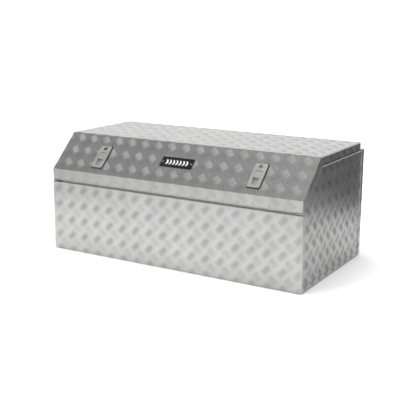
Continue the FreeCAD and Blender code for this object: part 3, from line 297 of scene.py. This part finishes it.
def bar_mesh(name, sheet, regions, phase, keep_out=(), shaded=None):
    """One mesh of all bars on a sheet; the bars wear a lighter copy of the plate's metal as a
    painted highlight, and the apron on the flank toward `shaded` has the second material, a dark
    copy as painted shade.
    """
    all_points, all_faces, looks = [], [], []
    base = 0
    for limits in regions:
        centres, headings, crosses = bar_centres(
            limits, phase, sheet.lean, shaded or sheet.shaded,
        )
        starts, ends, keep = cut_ranges(centres, headings, crosses, limits, keep_out)
        reach = BAR_LENGTH * 0.4 + FOLD
        near_fold = np.zeros(len(centres), bool)
        for fold in sheet.folds:
            near_fold |= np.abs(centres[:, 1] - fold) < reach
        for chosen, stations in ((keep & ~near_fold, STATIONS), (keep & near_fold, FINE_STATIONS)):
            if not chosen.any():
                continue
            share = (stations + 1) / 2
            span = (ends - starts)[chosen]
            along = starts[chosen][:, :, None] + span[:, :, None] * share
            offset = LANES[None, :, None] * taper(along) * BAR_WIDTH / 2
            height = LANE_HEIGHT[None, :, None] * crown(along) * BAR_HEIGHT - SINK
            flat = (
                centres[chosen][:, None, None, :]
                + headings[chosen][:, None, None, :] * (along * BAR_LENGTH / 2)[..., None]
                + crosses[chosen][:, None, None, :] * offset[..., None]
            )
            points = sheet.place(flat[..., 0], flat[..., 1], height)
            bars, lanes, steps = height.shape
            index = np.arange(bars * lanes * steps).reshape(bars, lanes, steps) + base
            quads = np.stack([
                index[:, :-1, :-1], index[:, :-1, 1:], index[:, 1:, 1:], index[:, 1:, :-1],
            ], axis=-1).reshape(-1, 4)
            all_points.append(points.reshape(-1, 3))
            all_faces.extend(quads.tolist())
            lane_of = np.broadcast_to(np.arange(lanes - 1)[None, :, None],
                                      (bars, lanes - 1, steps - 1)).reshape(-1)
            # Faces of the last lanes get the second material, the painted shade; all other faces
            # get the bars' painted highlight.
            looks.extend((lane_of >= lanes - 1 - SHADED_LANES).astype(int).tolist())
            for end, reverse in ((0, False), (-1, True)):
                caps = index[:, :, end]
                cut = np.abs((starts if end == 0 else ends)[chosen]).min(axis=1) < 0.93
                for cap in caps[cut].tolist():
                    all_faces.append(cap[::-1] if reverse else cap)
                    looks.append(0)
            base += bars * lanes * steps
    mesh = bpy.data.meshes.new(name)
    mesh.from_pydata(np.concatenate(all_points).tolist(), [], all_faces)
    # The bars' first material is a lighter copy of the plate's metal, a painted highlight.
    mesh.materials.append(TREAD_BAR_PAINTED_HIGHLIGHT)
    # The second material is a dark copy of the metal, painted on the flank's apron as shade.
    mesh.materials.append(TREAD_PAINTED_SHADE)
    mesh.polygons.foreach_set("material_index", looks)
    mesh.shade_smooth()
    mesh.set_sharp_from_angle(angle=math.radians(24))
    mesh.update()
    piece = bpy.data.objects.new(name, mesh)
    bpy.context.scene.collection.objects.link(piece)
    return piece


# ---------------------------------------------------------------- materials

def new_material(name):
    material = bpy.data.materials.new(name)
    material.use_nodes = True
    tree = material.node_tree
    shader = tree.nodes["Principled BSDF"]
    return material, tree, shader


def add_node(tree, kind, **values):
    node = tree.nodes.new(kind)
    for key, value in values.items():
        if key in node.inputs:
            node.inputs[key].default_value = value
        else:
            setattr(node, key, value)
    return node


def stretched_noise(tree, scale, stretch, detail=4.0):
    """Noise in object space, stretched along some axes."""
    coordinates = add_node(tree, "ShaderNodeTexCoord")
    mapping = add_node(tree, "ShaderNodeMapping")
    mapping.inputs["Scale"].default_value = stretch
    noise = add_node(tree, "ShaderNodeTexNoise", Scale=scale, Detail=detail)
    tree.links.new(coordinates.outputs["Object"], mapping.inputs["Vector"])
    tree.links.new(mapping.outputs["Vector"], noise.inputs["Vector"])
    return noise.outputs["Fac"]


def spread(tree, value, low, high, from_low=0.3, from_high=0.7):
    """The value mapped to another range."""
    node = add_node(tree, "ShaderNodeMapRange")
    node.inputs["From Min"].default_value = from_low
    node.inputs["From Max"].default_value = from_high
    node.inputs["To Min"].default_value = low
    node.inputs["To Max"].default_value = high
    tree.links.new(value, node.inputs["Value"])
    return node.outputs["Result"]


def between(tree, factor, dark, light):
    """A colour between two others."""
    node = add_node(tree, "ShaderNodeMix", data_type="RGBA")
    node.inputs["A"].default_value = (*dark, 1)
    node.inputs["B"].default_value = (*light, 1)
    tree.links.new(factor, node.inputs["Factor"])
    return node.outputs["Result"]


def toward(tree, vector, direction):
    """How far the vector reaches along a direction."""
    node = add_node(tree, "ShaderNodeVectorMath", operation="DOT_PRODUCT")
    tree.links.new(vector, node.inputs[0])
    node.inputs[1].default_value = direction
    return node.outputs["Value"]


def bumped(tree, shader, value, strength, distance, before=None):
    """Bump by the value, on top of an earlier bump if there is one."""
    node = add_node(tree, "ShaderNodeBump", Strength=strength, Distance=distance)
    tree.links.new(value, node.inputs["Height"])
    if before is not None:
        tree.links.new(before, node.inputs["Normal"])
    tree.links.new(node.outputs["Normal"], shader.inputs["Normal"])
    return node.outputs["Normal"]


def metal(name, dark, light, roughness, grain_stretch, grain_scale=60.0,
          grain_bump=0.06, wave_bump=0.0, metallic=1.0):
    """Metal with a directional grain, cloudy tone and slight waviness."""
    material, tree, shader = new_material(name)
    shader.inputs["Metallic"].default_value = metallic
    cloud = stretched_noise(tree, 9.0, (1, 1, 1), 5.0)
    grain = stretched_noise(tree, grain_scale, grain_stretch, 6.0)
    tree.links.new(between(tree, spread(tree, cloud, 0, 1), dark, light),
                   shader.inputs["Base Color"])
    tree.links.new(spread(tree, grain, roughness[0], roughness[1]), shader.inputs["Roughness"])
    normal = None
    if wave_bump:
        wave = stretched_noise(tree, 3.2, (1, 1, 1), 2.0)
        normal = bumped(tree, shader, wave, wave_bump, 0.02)
    bumped(tree, shader, grain, grain_bump, 0.0006, normal)
    return material


def dull(name, dark, light, roughness, scale=160.0, bump=0.15, coat=0.0):
    """Rubber, plastic or paint with a fine speckle."""
    material, tree, shader = new_material(name)
    shader.inputs["Metallic"].default_value = 0.0
    shader.inputs["Coat Weight"].default_value = coat
    shader.inputs["Coat Roughness"].default_value = 0.12
    speckle = stretched_noise(tree, scale, (1, 1, 1), 6.0)
    cloud = stretched_noise(tree, 14.0, (1, 1, 1), 3.0)
    tree.links.new(between(tree, spread(tree, cloud, 0, 1), dark, light),
                   shader.inputs["Base Color"])
    tree.links.new(spread(tree, speckle, roughness[0], roughness[1]), shader.inputs["Roughness"])
    bumped(tree, shader, speckle, bump, 0.0004)
    return material


LOOKS = {
    "tread_plate": metal("tread_plate", (0.64, 0.64, 0.636), (0.70, 0.70, 0.696), (0.28, 0.34),
                         (0.6, 14, 14), 70.0, 0.03, 0.03, 0.95),
    "mill_aluminium": metal("mill_aluminium", (0.66, 0.67, 0.69), (0.78, 0.79, 0.80),
                            (0.30, 0.45), (1, 18, 18), 60.0, 0.12, 0.0, 0.86),
    "rivet_alloy": metal("rivet_alloy", (0.72, 0.73, 0.74), (0.86, 0.86, 0.87), (0.18, 0.34),
                         (6, 6, 6), 80.0, 0.06),
    "stainless": metal("stainless", (0.76, 0.77, 0.755), (0.86, 0.87, 0.855), (0.34, 0.48),
                       (1, 22, 22), 110.0, 0.10, 0.0, 0.90),
    "zinc_steel": metal("zinc_steel", (0.50, 0.53, 0.56), (0.66, 0.68, 0.70), (0.28, 0.50),
                        (5, 5, 5), 90.0, 0.12),
    "spring_steel": metal("spring_steel", (0.33, 0.34, 0.36), (0.46, 0.47, 0.49), (0.25, 0.4),
                          (9, 9, 9), 120.0, 0.08),
    "lock_chrome": metal("lock_chrome", (0.66, 0.67, 0.68), (0.78, 0.79, 0.80), (0.10, 0.22),
                         (6, 6, 6), 120.0, 0.05),
    "rod_chrome": metal("rod_chrome", (0.74, 0.75, 0.76), (0.82, 0.83, 0.84), (0.06, 0.14),
                        (4, 20, 20), 90.0, 0.03),
    "strut_black": dull("strut_black", (0.012, 0.012, 0.013), (0.028, 0.028, 0.03),
                        (0.30, 0.45), 240.0, 0.10, 0.3),
    "badge_black": dull("badge_black", (0.004, 0.004, 0.004), (0.010, 0.010, 0.010),
                        (0.5, 0.65), 200.0, 0.08),
    "socket_plastic": dull("socket_plastic", (0.02, 0.02, 0.021), (0.045, 0.045, 0.047),
                           (0.45, 0.62), 300.0, 0.2),
    "rubber": dull("rubber", (0.010, 0.010, 0.010), (0.026, 0.026, 0.026), (0.55, 0.78),
                   260.0, 0.3),
}
# Painted highlight: the bars are the plate's own aluminium, given a lighter copy of its colour so
# that they read as catching more light than the plate.
TREAD_BAR_PAINTED_HIGHLIGHT = metal("tread_bar_painted_highlight", (0.90, 0.90, 0.895), (0.96, 0.96, 0.955), (0.275, 0.32),
                  (1, 10, 10), 80.0, 0.01, 0.0, 0.90)
# Painted shade: a dark copy of the tread metal for the apron beside one flank of each bar,
# standing in for the shade there.
TREAD_PAINTED_SHADE = metal("tread_painted_shade", (0.10, 0.10, 0.10), (0.17, 0.17, 0.17), (0.34, 0.5),
                   (1, 10, 10), 80.0, 0.02)
MARKING = dull("badge_marking", (0.72, 0.72, 0.72), (0.86, 0.86, 0.86), (0.35, 0.5), 200.0, 0.05)

slot_of = {part["node"]: part["material_slot"] for part in frame["record"]["subparts"]}
for name, node in nodes.items():
    node.data.materials.clear()
    node.data.materials.append(LOOKS[slot_of[name]])


# ---------------------------------------------------------------- tread bars

def finish_bars(piece, body):
    """The bars ride on the body whose sheet they belong to."""
    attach(piece, body)


EDGE = 0.0012           # plain margin at a cut edge
HEM = 0.0035            # plain margin at the foot of the lip

lid_strip = Strip([
    (LID_REAR, LID_TOP - FOLD * 2), (LID_REAR, LID_TOP), (SLOPE_TOP, LID_TOP),
    (-BACK, LIP_TOP), (-BACK, LIP_FOOT),
], FOLD)
slope_start = lid_strip.folds[1]
lip_start = lid_strip.folds[2]


def slope_zone(x, down, half_across, half_down):
    """Keep-out rectangle round something that lies on the slope."""
    middle = slope_start + down
    return (x - half_across, x + half_across, middle - half_down, middle + half_down)


lid_keep_out = [slope_zone(x, LATCH_DOWN, 0.0325, 0.0615) for x in (-LATCH_X, LATCH_X)]
lid_keep_out.append(slope_zone(0, BADGE_DOWN, 0.078, 0.0265))
lid_keep_out += [slope_zone(x, RIVET_DOWN, 0.005, 0.005) for x in (-RIVET_X, 0, RIVET_X)]
lid_bars = bar_mesh(
    "lid_bars", lid_strip,
    [box_limits(-LID_HALF + FOLD, LID_HALF - FOLD, 0.0, lid_strip.length - HEM)],
    LID_PHASE, lid_keep_out,
)
finish_bars(lid_bars, "lid")

body_strip = Strip([
    (FLANGE_REAR, FRONT_TOP), (-BACK, FRONT_TOP), (-BACK, 0), (BACK, 0), (BACK, LEDGE_TOP),
    (LEDGE_FRONT, LEDGE_TOP),
], FOLD)
front_end = body_strip.folds[1]
back_start = body_strip.folds[2]
full_width = (-HALF_WIDTH + FOLD, HALF_WIDTH - FOLD)
front_bars = bar_mesh(
    "front_bars", body_strip,
    [box_limits(*full_width, 0.0, front_end)], BODY_PHASE,
)
finish_bars(front_bars, "box")
floor_bars = bar_mesh(
    "floor_bars", body_strip,
    [box_limits(*full_width, front_end, back_start)], BODY_PHASE,
)
finish_bars(floor_bars, "box")
back_bars = bar_mesh(
    "back_bars", body_strip,
    [box_limits(*full_width, back_start, body_strip.length)], BODY_PHASE, shaded=(0, 1),
)
finish_bars(back_bars, "box")

MIDDLE_OF_SLOPE = (
    (SLOPE_TOP - BACK) / 2 + SLOPE_SIN * SKIRT / 2,
    (LID_TOP + LIP_TOP) / 2 - SLOPE_COS * SKIRT / 2,
)


def slope_line(drop):
    """Half plane bounded by a line under the slope, on the side of the skirt's middle."""
    first = (-BACK, LIP_TOP - drop / SLOPE_COS)
    second = (first[0] + SLOPE_COS, first[1] + SLOPE_SIN)
    return through(first, second, MIDDLE_OF_SLOPE)


rim_level = LID_TOP - RIM_DROP - FOLD
rim_front = LIP_TOP - RIM_DROP / SLOPE_COS - FOLD
for suffix, sign in (("left", -1), ("right", 1)):
    panel = Side(sign * PANEL_FACE)
    rise = [
        (-BACK, rim_front), (-BACK + 0.1, rim_front + 0.1 * SLOPE_SIN / SLOPE_COS),
    ]
    panel_limits = box_limits(
        -BACK + STRIP_FRONT, BACK - STRIP_REAR, STRIP_LOW, rim_level,
    ) + [through(*rise, (0.0, 0.1))]
    panel_bars = bar_mesh(f"side_bars_{suffix}", panel, [panel_limits], PANEL_PHASE)
    finish_bars(panel_bars, "box")

    flange = Side(sign * HALF_WIDTH)
    strips = [
        box_limits(-BACK + FOLD, BACK - FOLD, FOLD, STRIP_LOW - EDGE),
        box_limits(-BACK + FOLD, -BACK + STRIP_FRONT - EDGE, STRIP_LOW, FRONT_TOP - FOLD),
        box_limits(BACK - STRIP_REAR + EDGE, BACK - FOLD, STRIP_LOW, LEDGE_TOP - FOLD),
    ]
    strip_bars = bar_mesh(f"strip_bars_{suffix}", flange, strips, FLANGE_PHASE)
    finish_bars(strip_bars, "box")

    skirt = Side(sign * LID_HALF)
    knee = (KNEE_Y, LID_TOP - SKIRT)
    mitre = through((SLOPE_TOP, LID_TOP), knee, (LID_REAR, LID_TOP - 0.01))
    other_side = through((SLOPE_TOP, LID_TOP), knee, (-BACK, LIP_TOP))
    skirt_regions = [
        [
            (0, 1, LID_TOP - FOLD), (0, -1, -(LID_TOP - SKIRT + EDGE)),
            (1, 0, LID_REAR - FOLD), mitre,
        ],
        [
            slope_line(FOLD), slope_line(SKIRT - EDGE),
            (-1, 0, BACK - FOLD), other_side,
        ],
    ]
    skirt_bars = bar_mesh(f"skirt_bars_{suffix}", skirt, skirt_regions, SKIRT_PHASE)
    finish_bars(skirt_bars, "lid")


# ---------------------------------------------------------------- badge marking

def on_slope(x, up, out, down):
    """Point on the slope: X along the box, up the slope and outward from its face."""
    along = SLOPE - down + up
    return (
        x,
        -BACK + SLOPE_COS * along - SLOPE_SIN * out,
        LIP_TOP + SLOPE_SIN * along + SLOPE_COS * out,
    )


def slope_block(name, outlines, low, high, down, material, body):
    """Flat blocks standing on the slope, one for each outline of (x, up) points."""
    points, faces = [], []
    for outline in outlines:
        base = len(points)
        count = len(outline)
        points += [on_slope(x, up, low, down) for x, up in outline]
        points += [on_slope(x, up, high, down) for x, up in outline]
        faces.append(list(range(base + count, base + 2 * count)))
        for number in range(count):
            following = (number + 1) % count
            faces.append([base + number, base + following,
                          base + count + following, base + count + number])
    mesh = bpy.data.meshes.new(name)
    mesh.from_pydata(points, [], faces)
    mesh.materials.append(material)
    piece = bpy.data.objects.new(name, mesh)
    bpy.context.scene.collection.objects.link(piece)
    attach(piece, body)
    return piece


BADGE_FACE = 0.00108    # badge's front face above the slope
CHEVRON_STEP, CHEVRON_WIDTH, CHEVRON_LEAN, CHEVRON_RISE = 0.0158, 0.0052, 0.0060, 0.0110
waves = []
for number in range(-3, 4):
    left = number * CHEVRON_STEP - CHEVRON_LEAN / 2 - CHEVRON_WIDTH / 2
    right = left + CHEVRON_WIDTH
    waves.append([
        (left, -CHEVRON_RISE), (right, -CHEVRON_RISE), (right + CHEVRON_LEAN, 0.0),
        (right, CHEVRON_RISE), (left, CHEVRON_RISE), (left + CHEVRON_LEAN, 0.0),
    ])
slope_block("badge_chevrons", waves, BADGE_FACE, BADGE_FACE + 0.0004, BADGE_DOWN, MARKING,
            "lid")


# ---------------------------------------------------------------- studio
# Lamps light what is dull. Metal sees two floor rings and the sky instead, which nothing else
# sees, and the floor glows a little away from the box so that it stays white all round.

scene = bpy.context.scene
scene.view_settings.view_transform = "Standard"
scene.view_settings.look = "None"

TARGET = Vector((0.0437, -0.055, 0.2104))
AZIMUTH, ELEVATION, ROLL = math.radians(30.57), math.radians(13.80), math.radians(-0.33)
DISTANCE = 3.534
LENS = 71.46

camera_data = bpy.data.cameras.new("photo_camera")
camera_data.lens = LENS
camera_data.sensor_width = 36.0
camera_data.dof.use_dof = False
camera_data.clip_start, camera_data.clip_end = 0.05, 60.0
camera = bpy.data.objects.new("photo_camera", camera_data)
scene.collection.objects.link(camera)
behind = Vector((
    math.sin(AZIMUTH) * math.cos(ELEVATION),
    -math.cos(AZIMUTH) * math.cos(ELEVATION),
    math.sin(ELEVATION),
))
camera.location = TARGET + behind * DISTANCE
camera.rotation_mode = "QUATERNION"
aim = (-behind).to_track_quat("-Z", "Y")
camera.rotation_quaternion = aim
camera.rotation_quaternion.rotate(Quaternion(-behind, ROLL))
scene.camera = camera


def plain_surface(name, colour, roughness):
    material, tree, shader = new_material(name)
    shader.inputs["Base Color"].default_value = (*colour, 1)
    shader.inputs["Roughness"].default_value = roughness
    return material


def flat_ring(name, inner, outer, z, material):
    """A flat disc, or a ring round the box if the inner radius isn't zero."""
    turns = [math.radians(angle) for angle in range(0, 360, 5)]
    count = len(turns)
    points = [(outer * math.cos(turn), outer * math.sin(turn), z) for turn in turns]
    faces = [list(range(count))]
    if inner:
        points += [(inner * math.cos(turn), inner * math.sin(turn), z) for turn in turns]
        faces = [
            [number, (number + 1) % count, count + (number + 1) % count, count + number]
            for number in range(count)
        ]
    mesh = bpy.data.meshes.new(name)
    mesh.from_pydata(points, [], faces)
    mesh.materials.append(material)
    ring = bpy.data.objects.new(name, mesh)
    scene.collection.objects.link(ring)
    return ring


def reflected_only(thing):
    """Seen in the metal, but not by the camera or by dull surfaces."""
    thing.visible_camera = False
    thing.visible_diffuse = False
    thing.visible_shadow = False


floor_look, floor_tree, floor_shader = new_material("studio_floor")
floor_shader.inputs["Base Color"].default_value = (0.90, 0.90, 0.90, 1)
floor_shader.inputs["Roughness"].default_value = 0.8
floor_shader.inputs["Emission Color"].default_value = (1, 1, 1, 1)
floor_place = add_node(floor_tree, "ShaderNodeTexCoord")
floor_reach = add_node(floor_tree, "ShaderNodeVectorMath", operation="LENGTH")
floor_tree.links.new(floor_place.outputs["Object"], floor_reach.inputs[0])
floor_tree.links.new(spread(floor_tree, floor_reach.outputs["Value"], 0.0, 0.8, 0.7, 2.2),
                     floor_shader.inputs["Emission Strength"])
floor = flat_ring("studio_floor", 0, 14.0, -0.0018, floor_look)
floor.visible_glossy = False
NEAR_FLOOR = 1.38
near_floor = flat_ring("near_floor", 0, NEAR_FLOOR, -0.0016,
                       plain_surface("near_floor", (0.57, 0.57, 0.57), 0.9))
far_look, far_tree, far_shader = new_material("far_floor")
far_place = add_node(far_tree, "ShaderNodeTexCoord")
far_front = toward(far_tree, far_place.outputs["Object"], (-0.6, -0.8, 0))
far_reach = add_node(far_tree, "ShaderNodeVectorMath", operation="LENGTH")
far_tree.links.new(far_place.outputs["Object"], far_reach.inputs[0])
far_side = spread(far_tree, far_front, 0.0, 1.0, -1.2, 1.2)
far_fade = spread(far_tree, far_reach.outputs["Value"], 1.0, 0.12, 1.9, 2.6)
far_tone = add_node(far_tree, "ShaderNodeMath", operation="MULTIPLY")
far_tree.links.new(far_side, far_tone.inputs[0])
far_tree.links.new(far_fade, far_tone.inputs[1])
far_tree.links.new(
    between(far_tree, far_tone.outputs["Value"], (0.03, 0.03, 0.03), (0.46, 0.46, 0.46)),
    far_shader.inputs["Base Color"])
far_shader.inputs["Roughness"].default_value = 0.9
far_floor = flat_ring("far_floor", NEAR_FLOOR, 12.0, -0.0016, far_look)
reflected_only(near_floor)
reflected_only(far_floor)


def area_light(name, place, aim_at, width, depth, power):
    data = bpy.data.lights.new(name, "AREA")
    data.shape = "RECTANGLE"
    data.size, data.size_y = width, depth
    data.energy = power
    lamp = bpy.data.objects.new(name, data)
    lamp.location = place
    lamp.rotation_mode = "QUATERNION"
    lamp.rotation_quaternion = (Vector(aim_at) - Vector(place)).to_track_quat("-Z", "Y")
    lamp.visible_glossy = False
    scene.collection.objects.link(lamp)
    return lamp


area_light("overhead_light", (0, -0.3, 4.0), (0, 0, 0), 5.0, 5.0, 270.0)
area_light("front_light", (-1.8, -3.0, 2.4), (0, 0, 0.2), 2.0, 2.0, 60.0)

world = bpy.data.worlds.new("studio_world")
world.use_nodes = True
scene.world = world
sky_tree = world.node_tree
sky = sky_tree.nodes["Background"]
sky_place = add_node(sky_tree, "ShaderNodeTexCoord")


def sky_band(stops_wanted):
    """Tone by height above the horizon, from (sine of the elevation, tone) pairs."""
    height = toward(sky_tree, sky_place.outputs["Generated"], (0, 0, 1))
    ramp = add_node(sky_tree, "ShaderNodeValToRGB")
    sky_tree.links.new(height, ramp.inputs["Fac"])
    stops = ramp.color_ramp.elements
    for number, (level, tone) in enumerate(stops_wanted):
        stop = stops[number] if number < 2 else stops.new(level)
        stop.position = level
        stop.color = (tone, tone, tone, 1)
    return ramp.outputs["Color"]


SKY_HIGH = [(0.60, 0.27), (0.72, 0.25), (0.80, 0.13), (0.90, 0.36), (1.0, 0.55)]
sky_dark = sky_band([(0.0, 0.10), (0.30, 0.10)] + SKY_HIGH)
sky_light = sky_band([(0.0, 1.1), (0.27, 1.1), (0.40, 0.60)] + SKY_HIGH)
sky_rear = spread(sky_tree, toward(sky_tree, sky_place.outputs["Generated"], (-0.42, 0.91, 0)),
                  0.0, 1.0, 0.45, 0.75)
sky_front = spread(sky_tree, toward(sky_tree, sky_place.outputs["Generated"], (0.2, -0.98, 0)),
                   0.0, 1.0, -0.1, 0.4)
sky_open = add_node(sky_tree, "ShaderNodeMath", operation="MAXIMUM")
sky_tree.links.new(sky_rear, sky_open.inputs[0])
sky_tree.links.new(sky_front, sky_open.inputs[1])
sky_ramp = add_node(sky_tree, "ShaderNodeMix", data_type="RGBA")
sky_tree.links.new(sky_open.outputs["Value"], sky_ramp.inputs["Factor"])
sky_tree.links.new(sky_dark, sky_ramp.inputs["A"])
sky_tree.links.new(sky_light, sky_ramp.inputs["B"])
sky_seen = add_node(sky_tree, "ShaderNodeLightPath")
sky_mix = add_node(sky_tree, "ShaderNodeMix", data_type="RGBA")
sky_mix.inputs["B"].default_value = (1, 1, 1, 1)
sky_tree.links.new(sky_seen.outputs["Is Camera Ray"], sky_mix.inputs["Factor"])
sky_tree.links.new(sky_ramp.outputs["Result"], sky_mix.inputs["A"])
sky_tree.links.new(sky_mix.outputs["Result"], sky.inputs["Color"])
